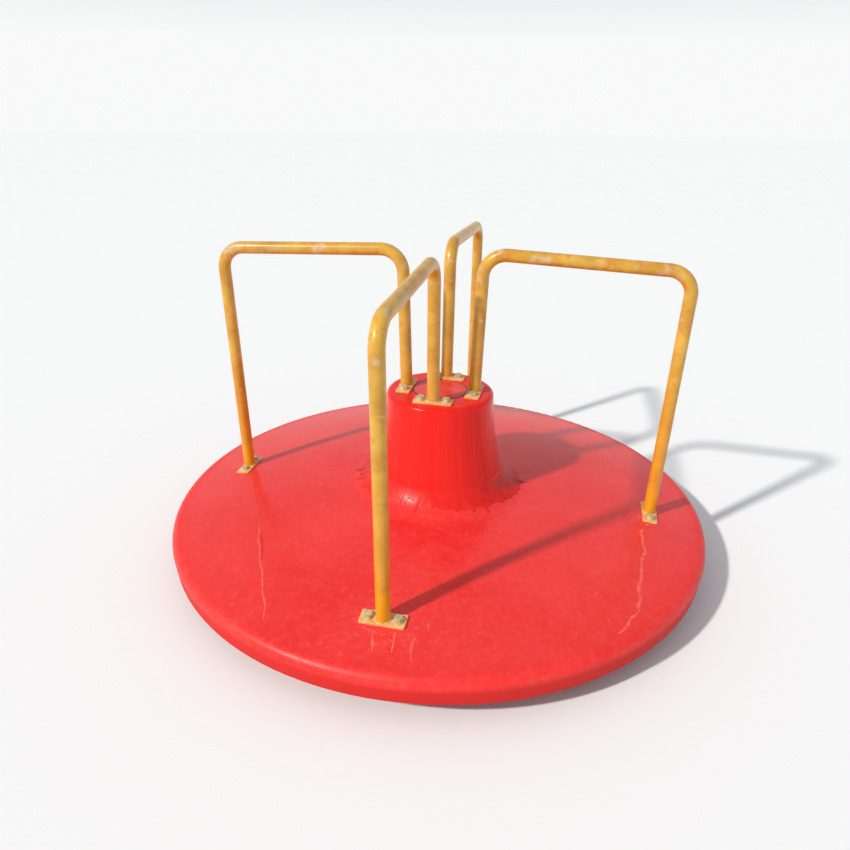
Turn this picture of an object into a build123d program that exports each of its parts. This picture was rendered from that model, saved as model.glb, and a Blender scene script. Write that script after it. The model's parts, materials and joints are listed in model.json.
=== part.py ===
from build123d import *
from dataclasses import dataclass
from math import asin, cos, radians, sin, sqrt, tan
import os

# Merry-go-round: a crowned glass-fibre platform with a central pedestal and four pipe handrails,
# turning on two tapered roller bearings about a fixed spindle.
# Millimetres. +Z is up, the origin is the middle of the base plate's underside.

# ---- Platform skins ----
deck_radius = 762.0            # widest point of the rim, a five-foot platform
rim_z = 120.0                  # height at which the crown would meet the widest point
deck_crown = 60.0              # rise of the crown from the rim to the axis
deck_thickness = 6.0
rim_round = 25.0
skirt_depth = 60.0
skirt_draft = 4.0              # how far the skirt leans in over its depth
skirt_lip = 26.0
skirt_lip_thickness = 5.0

# ---- Pedestal ----
pedestal_height = 340.0        # top face above the rim height
pedestal_thickness = 5.0
pedestal_round = 12.0
cove_foot_radius = 258.0       # where the cove round the pedestal's foot leaves the crown
cove_radius = 84.0
wall_foot_slope = radians(75.5)
wall_top_slope = radians(88.0)
bond_radius = 222.0            # joint between the pedestal and deck mouldings
lap_inner_radius = 204.0
lap_outer_radius = 240.0
lap_thickness = 2.0
cap_radius = 75.0
cap_hole_radius = 62.0
cap_thickness = 3.0
cap_rebate = 2.5
cap_gap = 0.3

# ---- Handrails ----
rail_azimuths = {"front": -90.0, "right": 0.0, "rear": 90.0, "left": 180.0}
pipe_radius = 33.7 / 2
pipe_wall = 2.6
bend_radius = 60.0
outer_foot_radius = 609.0
outer_corner = (624.0, rim_z + 703.0)
inner_corner = (108.0, rim_z + 723.0)
inner_foot_radius = 97.0

# ---- Rail feet and their fasteners ----
plate_length = 106.0
plate_width = 40.0
plate_thickness = 5.0
plate_corner = 4.0
bolt_offset = 35.0             # each bolt's distance from the pipe's axis
bolt_radius = 6.0
bolt_hole_radius = 6.5
bolt_head_flats = 18.0
bolt_head_height = 7.5
nut_height = 10.0
bolt_end = 4.0                 # thread showing past the nut
washer_radius = 12.0
washer_thickness = 2.5
trim_block = 60.0              # clears the pipe's raw end below its plate

# ---- Hub, arms and rim ring ----
hub_radius = 57.0
hub_wall = 5.0
hub_bottom = 50.0
flange_radius = 132.0
flange_thickness = 8.0
flange_hole_radius = 45.0
rib_reach = 125.0
rib_drop = 85.0
web_thickness = 6.0
arm_count = 8
arm_size = 40.0
arm_wall = 3.0
arm_end = 727.5
skin_gap = 0.2                 # adhesive line between the frame and the deck
gusset_reach = 95.0
gusset_height = 80.0
ring_inner = 728.0
ring_thickness = 6.0
ring_height = 40.0
lug_length = 35.0
lug_width = 44.0
lug_thickness = 6.0
lug_gap = 0.5                  # lets the flat lugs sit under the curved deck

# ---- Base and spindle ----
base_size = 400.0
base_thickness = 12.0
base_corner = 20.0
anchor_spacing = 320.0
anchor_hole_radius = 9.0
base_gusset_reach = 170.0
base_gusset_top = 44.0
shoulder_radius = 35.0
shoulder_z = 62.0
shank_radius = 27.0
thread_radius = 18.0
upper_bearing_top = 405.0
thrust_washer_thickness = 4.0
nut_body = 14.0
nut_crown = 8.0
nut_flats = 55.0
nut_slot = 6.0
pin_radius = 2.0
pin_length = 60.0
pin_eye_radius = 2.8

# ---- Bearings ----
race_clearance = 0.3
cone_angle = radians(11.5)
cup_angle = radians(15.0)
roller_tilt = 13.25
roller_taper = radians(1.75)
cage_thickness = 1.4
cage_rim = 1.5
pocket_gap = 0.4
seal_bottom = 51.0
seal_height = 8.0
dust_cap_wall = 2.0
dust_cap_rise = 34.0
dust_cap_skirt = 9.0

crown_radius = (deck_radius**2 + deck_crown**2) / (2 * deck_crown)
crown_centre = (0.0, rim_z + deck_crown - crown_radius)
pedestal_top = rim_z + pedestal_height
flange_top = pedestal_top - pedestal_thickness
flange_bottom = flange_top - flange_thickness


@dataclass
class Span:
    """An arc of the platform's outer surface, between two angles of its normal from upright.

    The radius is positive where the surface is convex and negative where it is concave.
    """
    centre: tuple
    radius: float
    start: float
    end: float


def surface_point(span, angle, depth):
    """Point on a span, or that far under it, where the surface's normal leans by the angle."""
    reach = span.radius - depth
    return (span.centre[0] + reach * sin(angle), span.centre[1] + reach * cos(angle))


def arc_points(span, depth):
    """Start, middle and end of a span's arc at a depth under the surface."""
    angles = (span.start, (span.start + span.end) / 2, span.end)
    return [surface_point(span, angle, depth) for angle in angles]


def next_span(previous, radius, end):
    """The tangent arc that carries on from a span's end, with its own radius, to a new slope."""
    joint = surface_point(previous, previous.end, 0)
    lean = (sin(previous.end), cos(previous.end))
    centre = (joint[0] - radius * lean[0], joint[1] - radius * lean[1])
    return Span(centre, radius, previous.end, end)


def angle_at(span, radius):
    """Lean of a span's normal at a distance from the spin axis."""
    return asin((radius - span.centre[0]) / span.radius)


# The platform's outer surface, from the rim inwards and up to the pedestal's top.
rim_centre_x = deck_radius - rim_round
rim_centre_z = crown_centre[1] + sqrt((crown_radius - rim_round) ** 2 - rim_centre_x**2)
crown_edge = asin(rim_centre_x / (crown_radius - rim_round))
rim = Span((rim_centre_x, rim_centre_z), rim_round, radians(90.0), crown_edge)
crown = Span(crown_centre, crown_radius, crown_edge, asin(cove_foot_radius / crown_radius))
cove = next_span(crown, -cove_radius, wall_foot_slope)
wall_foot = surface_point(cove, wall_foot_slope, 0)
wall_rise = pedestal_top - pedestal_round * (1 - cos(wall_top_slope)) - wall_foot[1]
wall_radius = wall_rise / (cos(wall_foot_slope) - cos(wall_top_slope))
wall = next_span(cove, -wall_radius, wall_top_slope)
top_round = next_span(wall, pedestal_round, 0.0)

bond_angle = angle_at(cove, bond_radius)
cove_on_deck = Span(cove.centre, cove.radius, cove.start, bond_angle)
cove_on_pedestal = Span(cove.centre, cove.radius, bond_angle, cove.end)
lap = Span(cove.centre, cove.radius, angle_at(cove, lap_outer_radius), angle_at(cove, lap_inner_radius))


def radial_plane(azimuth):
    """Upright plane through the spin axis: local x runs outwards, local y runs up."""
    c, s = cos(radians(azimuth)), sin(radians(azimuth))
    return Plane(origin=(0, 0, 0), x_dir=(c, s, 0), z_dir=(s, -c, 0))


def deck_plane(azimuth, radius):
    """Plane tangent to the crowned deck: local x runs round the deck, local z away from it."""
    c, s = cos(radians(azimuth)), sin(radians(azimuth))
    lean = asin(radius / crown_radius)
    r, z = surface_point(crown, lean, 0)
    return Plane(origin=(c * r, s * r, z), x_dir=(-s, c, 0), z_dir=(c * sin(lean), s * sin(lean), cos(lean)))


def level_plane(azimuth, radius, z):
    """Level plane at a place off the spin axis: local x runs round the axis."""
    c, s = cos(radians(azimuth)), sin(radians(azimuth))
    return Plane(origin=(c * radius, s * radius, z), x_dir=(-s, c, 0), z_dir=(0, 0, 1))


def keep(piece, name):
    """Labels a finished piece and writes it."""
    piece.part.label = name
    export_step(piece.part, f"parts/{name}.step")


def turned(points):
    """A ring or shaft turned about the spin axis from an outline of (radius, height) points."""
    with BuildPart() as piece:
        with BuildSketch(Plane.XZ):
            with BuildLine():
                Polyline(*points, close=True)
            make_face()
        revolve(axis=Axis.Z)
    return piece


def radial_webs(points, azimuths):
    """Flat webs of one outline, standing in upright planes through the spin axis."""
    with BuildPart() as webs:
        for azimuth in azimuths:
            with BuildSketch(radial_plane(azimuth)):
                with BuildLine():
                    Polyline(*points, close=True)
                make_face()
            extrude(amount=web_thickness / 2, both=True)
    return webs


os.makedirs("parts", exist_ok=True)
outer_planes = {side: deck_plane(azimuth, outer_foot_radius) for side, azimuth in rail_azimuths.items()}
inner_planes = {
    side: level_plane(azimuth, inner_foot_radius, pedestal_top) for side, azimuth in rail_azimuths.items()
}
bolt_spots = [(-bolt_offset, 0), (bolt_offset, 0)]

# ---- Deck shell: crowned deck, rolled rim, skirt and its inward lip ----
skirt_bottom = rim_z - skirt_depth
skirt_foot = deck_radius - skirt_draft
deck_spans = [rim, crown, cove_on_deck]
with BuildPart() as deck_shell:
    with BuildSketch(Plane.XZ):
        with BuildLine():
            for depth in (0, deck_thickness):
                for span in deck_spans:
                    ThreePointArc(*arc_points(span, depth))
            Line(surface_point(cove, bond_angle, 0), surface_point(cove, bond_angle, deck_thickness))
            Polyline(
                surface_point(rim, rim.start, 0),
                (skirt_foot, skirt_bottom),
                (skirt_foot - skirt_lip, skirt_bottom),
                (skirt_foot - skirt_lip, skirt_bottom + skirt_lip_thickness),
                (skirt_foot - deck_thickness, skirt_bottom + skirt_lip_thickness),
                surface_point(rim, rim.start, deck_thickness),
            )
        make_face()
    revolve(axis=Axis.Z)
    for plane in outer_planes.values():
        with BuildSketch(plane.offset(deck_thickness)):
            with Locations(*bolt_spots):
                Circle(bolt_hole_radius)
        extrude(amount=-3 * deck_thickness, mode=Mode.SUBTRACT)
keep(deck_shell, "deck_shell")

# ---- Pedestal shell: waisted cone with a level top, rebated for the inspection cap ----
pedestal_spans = [cove_on_pedestal, wall, top_round]
rebate_edge = cap_radius + cap_gap
with BuildPart() as pedestal_shell:
    with BuildSketch(Plane.XZ):
        with BuildLine():
            for depth in (0, pedestal_thickness):
                for span in pedestal_spans:
                    ThreePointArc(*arc_points(span, depth))
            Line(surface_point(cove, bond_angle, 0), surface_point(cove, bond_angle, pedestal_thickness))
            Polyline(
                surface_point(top_round, 0, 0),
                (rebate_edge, pedestal_top),
                (rebate_edge, pedestal_top - cap_rebate),
                (cap_hole_radius, pedestal_top - cap_rebate),
                (cap_hole_radius, flange_top),
                surface_point(top_round, 0, pedestal_thickness),
            )
        make_face()
    revolve(axis=Axis.Z)
    for plane in inner_planes.values():
        with BuildSketch(plane.offset(pedestal_thickness)):
            with Locations(*bolt_spots):
                Circle(bolt_hole_radius)
        extrude(amount=-3 * pedestal_thickness, mode=Mode.SUBTRACT)
keep(pedestal_shell, "pedestal_shell")

# ---- Bond lap: laminated band over the joint of the two mouldings ----
with BuildPart() as bond_lap:
    with BuildSketch(Plane.XZ):
        with BuildLine():
            ThreePointArc(*arc_points(lap, 0))
            ThreePointArc(*arc_points(lap, -lap_thickness))
            for angle in (lap.start, lap.end):
                Line(surface_point(lap, angle, 0), surface_point(lap, angle, -lap_thickness))
        make_face()
    revolve(axis=Axis.Z)
keep(bond_lap, "bond_lap")

# ---- Inspection cap: plug in the pedestal's top, over the bearing's nut ----
cap_bottom = pedestal_top - cap_rebate
with BuildPart() as inspection_cap:
    with BuildSketch(Plane.XY.offset(cap_bottom)):
        Circle(cap_radius)
    extrude(amount=cap_thickness)
    fillet(inspection_cap.edges().group_by(Axis.Z)[-1], cap_gap)
    with BuildSketch(Plane.XY.offset(flange_top + skin_gap)):
        Circle(cap_hole_radius - cap_gap)
    extrude(amount=cap_bottom - flange_top - skin_gap)
keep(inspection_cap, "inspection_cap")

# ---- Handrails: one bent pipe each, its ends cut to sit on the foot plates ----
for side, azimuth in rail_azimuths.items():
    outer_plane, inner_plane = outer_planes[side], inner_planes[side]
    route_points = [
        (outer_foot_radius, surface_point(crown, asin(outer_foot_radius / crown_radius), 0)[1]),
        outer_corner,
        inner_corner,
        (inner_foot_radius, pedestal_top),
    ]
    with BuildPart() as rail:
        with BuildLine(radial_plane(azimuth)) as route:
            FilletPolyline(*route_points, radius=bend_radius)
        with BuildSketch(Plane(origin=route.line @ 0, z_dir=route.line % 0)):
            Circle(pipe_radius)
            Circle(pipe_radius - pipe_wall, mode=Mode.SUBTRACT)
        sweep(path=route.line)
        for plane in (outer_plane, inner_plane):
            with BuildSketch(plane.offset(plate_thickness)):
                Rectangle(trim_block, trim_block)
            extrude(amount=-trim_block, mode=Mode.SUBTRACT)
    keep(rail, f"{side}_rail")

# ---- Foot plates: one under each end of each rail ----
for place, planes in (("outer", outer_planes), ("inner", inner_planes)):
    for side, plane in planes.items():
        with BuildPart() as foot:
            with BuildSketch(plane):
                RectangleRounded(plate_length, plate_width, plate_corner)
                with Locations(*bolt_spots):
                    Circle(bolt_hole_radius, mode=Mode.SUBTRACT)
            extrude(amount=plate_thickness)
            top_face = foot.faces().sort_by(Axis(plane.origin, plane.z_dir))[-1]
            fillet(top_face.outer_wire().edges(), plate_thickness / 5)
        keep(foot, f"{side}_{place}_foot")

# ---- Foot fasteners: hexagon bolts, washers under the heads, and nuts under the frame ----
for place, planes, grip in (
    ("outer", outer_planes, deck_thickness + lug_gap + lug_thickness),
    ("inner", inner_planes, pedestal_thickness + flange_thickness),
):
    head_bottom = plate_thickness + washer_thickness
    shank_length = head_bottom + grip + nut_height + bolt_end
    with BuildPart() as bolts:
        for plane in planes.values():
            with BuildSketch(plane.offset(head_bottom)):
                with Locations(*bolt_spots):
                    RegularPolygon(bolt_head_flats / 2, 6, major_radius=False)
            extrude(amount=bolt_head_height)
            with BuildSketch(plane.offset(head_bottom)):
                with Locations(*bolt_spots):
                    Circle(bolt_radius)
            extrude(amount=-shank_length)
    keep(bolts, f"{place}_foot_bolts")

    with BuildPart() as washers:
        for plane in planes.values():
            with BuildSketch(plane.offset(plate_thickness)):
                with Locations(*bolt_spots):
                    Circle(washer_radius)
                    Circle(bolt_hole_radius, mode=Mode.SUBTRACT)
            extrude(amount=washer_thickness)
    keep(washers, f"{place}_foot_washers")

    with BuildPart() as nuts:
        for plane in planes.values():
            with BuildSketch(plane.offset(-grip)):
                with Locations(*bolt_spots):
                    RegularPolygon(bolt_head_flats / 2, 6, major_radius=False)
                    Circle(bolt_radius, mode=Mode.SUBTRACT)
            extrude(amount=-nut_height)
    keep(nuts, f"{place}_foot_nuts")

# ---- Hub tube, top flange and the ribs between them ----
hub_bore = hub_radius - hub_wall
hub_tube = turned([
    (hub_bore, hub_bottom),
    (hub_radius, hub_bottom),
    (hub_radius, flange_bottom),
    (hub_bore, flange_bottom),
])
keep(hub_tube, "hub_tube")

with BuildPart() as hub_top_flange:
    with BuildSketch(Plane.XY.offset(flange_bottom)):
        Circle(flange_radius)
        Circle(flange_hole_radius, mode=Mode.SUBTRACT)
    extrude(amount=flange_thickness)
    for plane in inner_planes.values():
        with BuildSketch(plane):
            with Locations(*bolt_spots):
                Circle(bolt_hole_radius)
        extrude(amount=-2 * (pedestal_thickness + flange_thickness), mode=Mode.SUBTRACT)
keep(hub_top_flange, "hub_top_flange")

arm_azimuths = [360.0 / arm_count * index for index in range(arm_count)]
rib_outline = [
    (hub_radius, flange_bottom),
    (rib_reach, flange_bottom),
    (hub_radius, flange_bottom - rib_drop),
]
keep(radial_webs(rib_outline, arm_azimuths), "hub_ribs")

# ---- Support arms: square tubes bent to the crown, from the hub to the rim ring ----
arm_depth = deck_thickness + skin_gap
for index, azimuth in enumerate(arm_azimuths, start=1):
    with BuildPart() as arm:
        for inset, mode in ((0, Mode.ADD), (arm_wall, Mode.SUBTRACT)):
            top, bottom = arm_depth + inset, arm_depth + arm_size - inset
            inner_angle = asin((hub_radius - arm_size) / crown_radius)
            outer_angle = asin(arm_end / (crown_radius - arm_depth))
            strip = Span(crown.centre, crown.radius, inner_angle, outer_angle)
            with BuildSketch(radial_plane(azimuth)):
                with BuildLine():
                    for depth in (top, bottom):
                        ThreePointArc(*arc_points(strip, depth))
                    for angle in (inner_angle, outer_angle):
                        Line(surface_point(strip, angle, top), surface_point(strip, angle, bottom))
                make_face()
            extrude(amount=arm_size / 2 - inset, both=True, mode=mode)
        with BuildSketch(Plane.XY):
            Circle(hub_radius)
        extrude(amount=pedestal_top, mode=Mode.SUBTRACT)
    keep(arm, f"support_arm_{index}")

arm_top = surface_point(crown, asin(hub_radius / crown_radius), arm_depth)[1] + skin_gap
gusset_outline = [
    (hub_radius, arm_top),
    (hub_radius + gusset_reach, arm_top),
    (hub_radius, arm_top + gusset_height),
]
keep(radial_webs(gusset_outline, arm_azimuths), "arm_gussets")

# ---- Rim ring and the lugs that the outer foot bolts pull against ----
ring_outer = ring_inner + ring_thickness
ring_top = surface_point(crown, asin(ring_outer / crown_radius), arm_depth)[1] - skin_gap
rim_ring = turned([
    (ring_inner, ring_top - ring_height),
    (ring_outer, ring_top - ring_height),
    (ring_outer, ring_top),
    (ring_inner, ring_top),
])
keep(rim_ring, "rim_ring")

lug_centre = (arm_size + lug_length) / 2
with BuildPart() as rail_lugs:
    for plane in outer_planes.values():
        with BuildSketch(plane.offset(-deck_thickness - lug_gap)):
            with Locations((-lug_centre, 0), (lug_centre, 0)):
                Rectangle(lug_length, lug_width)
            with Locations(*bolt_spots):
                Circle(bolt_hole_radius, mode=Mode.SUBTRACT)
        extrude(amount=-lug_thickness)
keep(rail_lugs, "rail_lugs")


@dataclass
class Bearing:
    """A tapered roller bearing on the spin axis.

    Heights run from the cone's back face, where the rollers are thickest, along the direction.
    """
    name: str
    bore_radius: float
    outer_radius: float
    width: float
    cup_width: float
    pitch_radius: float
    roller_radius: float
    roller_length: float
    roller_count: int
    back_rib: float
    front_rib: float
    back_z: float
    direction: int

    def place(self, radius, height):
        return (radius, self.back_z + self.direction * height)

    def cone_race(self, height):
        race = self.pitch_radius - (self.roller_radius + race_clearance) / cos(cone_angle)
        return race + (self.width / 2 - height) * tan(cone_angle)

    def cup_race(self, height):
        race = self.pitch_radius + (self.roller_radius + race_clearance) / cos(cup_angle)
        return race + (self.width / 2 - height) * tan(cup_angle)


lower = Bearing("lower", 30.0, 47.5, 23.0, 17.5, 38.9, 4.6, 15.0, 20, 2.5, 3.5, shoulder_z, 1)
upper = Bearing("upper", 25.0, 40.0, 20.0, 15.5, 32.7, 4.1, 13.0, 18, 2.2, 3.1, upper_bearing_top, -1)

# ---- Bearings: cone on the spindle, cup in the hub, and rollers in a cage between them ----
for bearing in (lower, upper):
    width, front = bearing.width, bearing.width - bearing.front_rib
    back_rib_radius = bearing.pitch_radius + race_clearance * 3
    front_rib_radius = bearing.pitch_radius - bearing.roller_radius - race_clearance
    cone_outline = [
        (bearing.bore_radius, 0),
        (back_rib_radius, 0),
        (back_rib_radius, bearing.back_rib),
        (bearing.cone_race(bearing.back_rib), bearing.back_rib),
        (bearing.cone_race(front), front),
        (front_rib_radius, front),
        (front_rib_radius, width),
        (bearing.bore_radius, width),
    ]
    keep(turned([bearing.place(*point) for point in cone_outline]), f"{bearing.name}_bearing_cone")

    cup_back = width - bearing.cup_width
    cup_outline = [
        (bearing.outer_radius, cup_back),
        (bearing.cup_race(cup_back), cup_back),
        (bearing.cup_race(width), width),
        (bearing.outer_radius, width),
    ]
    keep(turned([bearing.place(*point) for point in cup_outline]), f"{bearing.name}_bearing_cup")

    middle_z = bearing.place(0, width / 2)[1]
    stance = Location((0, 0, middle_z), (0, -bearing.direction * roller_tilt, 0))
    swell = bearing.direction * bearing.roller_length / 2 * tan(roller_taper)
    low_radius, high_radius = bearing.roller_radius + swell, bearing.roller_radius - swell
    with BuildPart() as rollers:
        with PolarLocations(bearing.pitch_radius, bearing.roller_count):
            with Locations(stance):
                Cone(low_radius, high_radius, bearing.roller_length)
    keep(rollers, f"{bearing.name}_bearing_rollers")

    lean = radians(roller_tilt)
    half_length = bearing.roller_length / 2 + cage_rim
    cage_outline = [
        bearing.place(
            bearing.pitch_radius - along * sin(lean) + across * cos(lean),
            width / 2 + along * cos(lean) + across * sin(lean),
        )
        for along, across in (
            (-half_length, -cage_thickness / 2),
            (-half_length, cage_thickness / 2),
            (half_length, cage_thickness / 2),
            (half_length, -cage_thickness / 2),
        )
    ]
    with BuildPart() as cage:
        with BuildSketch(Plane.XZ):
            with BuildLine():
                Polyline(*cage_outline, close=True)
            make_face()
        revolve(axis=Axis.Z)
        with PolarLocations(bearing.pitch_radius, bearing.roller_count):
            with Locations(stance):
                Cone(
                    low_radius + pocket_gap,
                    high_radius + pocket_gap,
                    bearing.roller_length + pocket_gap,
                    mode=Mode.SUBTRACT,
                )
    keep(cage, f"{bearing.name}_bearing_cage")

# ---- Bearing housings: rings pressed into the hub tube, each with a shoulder for its cup ----
shoulder_height = 10.0
shoulder_step = 6.0
lower_cup_top = lower.place(0, lower.width)[1]
lower_housing_top = lower_cup_top + shoulder_height
lower_bearing_housing = turned([
    (lower.outer_radius, hub_bottom),
    (hub_bore, hub_bottom),
    (hub_bore, lower_housing_top),
    (lower.outer_radius - shoulder_step, lower_housing_top),
    (lower.outer_radius - shoulder_step, lower_cup_top),
    (lower.outer_radius, lower_cup_top),
])
keep(lower_bearing_housing, "lower_bearing_housing")

upper_cup_bottom = upper.place(0, upper.width)[1]
upper_housing_bottom = upper_cup_bottom - shoulder_height
upper_housing_top = upper_bearing_top + dust_cap_skirt
upper_bearing_housing = turned([
    (upper.outer_radius - shoulder_step, upper_housing_bottom),
    (hub_bore, upper_housing_bottom),
    (hub_bore, upper_housing_top),
    (upper.outer_radius, upper_housing_top),
    (upper.outer_radius, upper_cup_bottom),
    (upper.outer_radius - shoulder_step, upper_cup_bottom),
])
keep(upper_bearing_housing, "upper_bearing_housing")

# ---- Grease seal below the lower bearing, dust cap above the upper one, grease nipple ----
seal_inner = shoulder_radius + race_clearance
seal_lip = 3.0
seal_case = 2.0
grease_seal = turned([
    (seal_inner, seal_bottom),
    (lower.outer_radius, seal_bottom),
    (lower.outer_radius, seal_bottom + seal_height),
    (lower.outer_radius - seal_case, seal_bottom + seal_height),
    (lower.outer_radius - seal_case, seal_bottom + seal_case),
    (seal_inner + seal_lip, seal_bottom + seal_case),
    (seal_inner, seal_bottom + seal_lip + seal_case),
])
keep(grease_seal, "grease_seal")

cap_base = upper_housing_top - dust_cap_skirt + race_clearance
cap_shoulder = cap_base + dust_cap_rise - 2 * dust_cap_wall
with BuildPart() as dust_cap:
    with BuildSketch(Plane.XZ):
        with BuildLine():
            Polyline(
                (0, cap_base + dust_cap_rise - dust_cap_wall),
                (0, cap_base + dust_cap_rise),
                (upper.outer_radius - 4 * dust_cap_wall, cap_base + dust_cap_rise),
                (upper.outer_radius, cap_shoulder),
                (upper.outer_radius, cap_base),
                (upper.outer_radius - dust_cap_wall, cap_base),
                (upper.outer_radius - dust_cap_wall, cap_shoulder - dust_cap_wall / 2),
                (upper.outer_radius - 9 * dust_cap_wall / 2, cap_base + dust_cap_rise - dust_cap_wall),
                close=True,
            )
        make_face()
    revolve(axis=Axis.Z)
keep(dust_cap, "dust_cap")

nipple_z = 110.0
nipple_plane = Plane(origin=(hub_radius, 0, nipple_z), x_dir=(0, 1, 0), z_dir=(1, 0, 0))
nipple_stem, nipple_neck, nipple_ball = 4.0, 2.4, 3.4
nipple_length = 7.0
with BuildPart() as grease_nipple:
    with BuildSketch(nipple_plane):
        RegularPolygon(nipple_stem, 6, major_radius=False)
    extrude(amount=nipple_length)
    with BuildSketch(nipple_plane.offset(nipple_length)):
        Circle(nipple_neck)
    extrude(amount=nipple_length)
    with Locations(nipple_plane.offset(2 * nipple_length)):
        Sphere(nipple_ball)
keep(grease_nipple, "grease_nipple")

# ---- Base plate with four anchor holes ----
with BuildPart() as base_plate:
    with BuildSketch(Plane.XY):
        RectangleRounded(base_size, base_size, base_corner)
        with GridLocations(anchor_spacing, anchor_spacing, 2, 2):
            Circle(anchor_hole_radius, mode=Mode.SUBTRACT)
    extrude(amount=base_thickness)
keep(base_plate, "base_plate")

base_gusset_outline = [
    (shoulder_radius, base_thickness),
    (base_gusset_reach, base_thickness),
    (shoulder_radius, base_gusset_top),
]
keep(radial_webs(base_gusset_outline, rail_azimuths.values()), "base_gussets")

# ---- Spindle, stepped for its bearings, threaded at the top and drilled for the split pin ----
nut_bottom = upper_bearing_top + thrust_washer_thickness
nut_top = nut_bottom + nut_body + nut_crown
pin_z = nut_top - nut_crown / 2
spindle_top = nut_top + bolt_end
seat_step = 8.0
lower_seat_top = shoulder_z + lower.width + seat_step
upper_seat_bottom = upper_cup_bottom - seat_step
spindle_turning = turned([
    (0, base_thickness),
    (shoulder_radius, base_thickness),
    (shoulder_radius, shoulder_z),
    (lower.bore_radius, shoulder_z),
    (lower.bore_radius, lower_seat_top),
    (shank_radius, lower_seat_top + seat_step),
    (shank_radius, upper_seat_bottom - seat_step),
    (upper.bore_radius, upper_seat_bottom),
    (upper.bore_radius, upper_bearing_top),
    (thread_radius, upper_bearing_top),
    (thread_radius, spindle_top),
    (0, spindle_top),
])
pin_plane = Plane.YZ.offset(-shoulder_radius)
with BuildPart() as spindle:
    add(spindle_turning.part)
    with BuildSketch(pin_plane):
        with Locations((0, pin_z)):
            Circle(pin_radius + race_clearance)
    extrude(amount=2 * shoulder_radius, mode=Mode.SUBTRACT)
keep(spindle, "spindle")

# ---- Thrust washer, castle nut and split pin on the spindle's end ----
with BuildPart() as thrust_washer:
    with BuildSketch(Plane.XY.offset(upper_bearing_top)):
        Circle(nut_flats / 2 + thrust_washer_thickness)
        Circle(thread_radius, mode=Mode.SUBTRACT)
    extrude(amount=thrust_washer_thickness)
keep(thrust_washer, "thrust_washer")

with BuildPart() as castle_nut:
    with BuildSketch(Plane.XY.offset(nut_bottom)):
        RegularPolygon(nut_flats / 2, 6, major_radius=False, rotation=30)
        Circle(thread_radius, mode=Mode.SUBTRACT)
    extrude(amount=nut_body + nut_crown)
    with BuildSketch(Plane.XY.offset(nut_bottom + nut_body)):
        for turn in (0, 60, 120):
            Rectangle(2 * nut_flats, nut_slot, rotation=turn)
    extrude(amount=nut_crown, mode=Mode.SUBTRACT)
keep(castle_nut, "castle_nut")

with BuildPart() as split_pin:
    with BuildSketch(Plane.YZ.offset(-pin_length / 2)):
        with Locations((0, pin_z)):
            Circle(pin_radius)
    extrude(amount=pin_length)
    with Locations(Location((-pin_length / 2 - pin_eye_radius, 0, pin_z))):
        Torus(pin_eye_radius, pin_radius)
keep(split_pin, "split_pin")
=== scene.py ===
"""Looks of a merry-go-round: red gelcoat platform, worn yellow handrails, zinc fasteners. Metres, +Z up."""
import json
import math
import random

import bmesh
import bpy
from mathutils import Matrix, Vector, noise
from mathutils.bvhtree import BVHTree


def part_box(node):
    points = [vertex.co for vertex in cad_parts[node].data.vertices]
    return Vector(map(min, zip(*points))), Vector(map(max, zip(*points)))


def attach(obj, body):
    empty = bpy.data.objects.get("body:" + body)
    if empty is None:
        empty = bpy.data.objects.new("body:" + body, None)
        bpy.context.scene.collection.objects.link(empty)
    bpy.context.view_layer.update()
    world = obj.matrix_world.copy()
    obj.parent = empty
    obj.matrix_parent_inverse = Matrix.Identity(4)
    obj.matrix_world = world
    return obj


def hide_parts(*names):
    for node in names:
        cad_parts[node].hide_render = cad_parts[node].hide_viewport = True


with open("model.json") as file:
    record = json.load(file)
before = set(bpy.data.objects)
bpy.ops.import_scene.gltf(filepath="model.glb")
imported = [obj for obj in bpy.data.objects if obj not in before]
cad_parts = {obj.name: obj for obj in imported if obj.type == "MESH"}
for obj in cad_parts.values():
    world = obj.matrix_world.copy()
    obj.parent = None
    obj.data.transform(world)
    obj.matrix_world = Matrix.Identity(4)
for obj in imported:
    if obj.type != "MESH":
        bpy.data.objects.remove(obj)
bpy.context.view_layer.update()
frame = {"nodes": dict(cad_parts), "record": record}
nodes = frame["nodes"]
random.seed(7)

SIDES = ("front", "right", "rear", "left")

# ---- Sizes read from the frame ----
deck_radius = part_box("deck_shell")[1].x
pedestal_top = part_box("pedestal_shell")[1].z
lap_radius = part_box("bond_lap")[1].x
rail_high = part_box("front_rail")[1]
rail_top = rail_high.z
pipe_radius = rail_high.x
outer_foot_radius = sum(corner.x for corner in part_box("right_outer_foot")) / 2

# The cove runs out a little past the lap.
COVE_PER_LAP = 1.075
cove_radius = COVE_PER_LAP * lap_radius


def plain(angle):
    """Unit vector in the ground plane, at an angle in degrees from +X."""
    return Vector((math.cos(math.radians(angle)), math.sin(math.radians(angle)), 0))


def direction(azimuth, elevation):
    """Unit vector at an azimuth from +X and an elevation over the ground, both in degrees."""
    lift = math.radians(elevation)
    return plain(azimuth) * math.cos(lift) + Vector((0, 0, math.sin(lift)))


# ---- Surface of the platform, for pieces that lie on it ----
def surface_tree(names):
    """Search tree over the faces of several CAD nodes."""
    joined = bmesh.new()
    for name in names:
        joined.from_mesh(nodes[name].data)
    tree = BVHTree.FromBMesh(joined)
    joined.free()
    return tree


DOWN = Vector((0, 0, -1))
CAST_HEIGHT = pedestal_top + 0.1
platform_surface = surface_tree(["deck_shell", "pedestal_shell"])


def on_surface(x, y, lift):
    """Point on the platform's top at x, y, raised along the surface's normal."""
    point, normal, _, _ = platform_surface.ray_cast(Vector((x, y, CAST_HEIGHT)), DOWN)
    return point + normal * lift


# ---- Colours, linear ----
def opaque(red, green, blue):
    """A colour as a socket takes it."""
    return (red, green, blue, 1.0)


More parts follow.
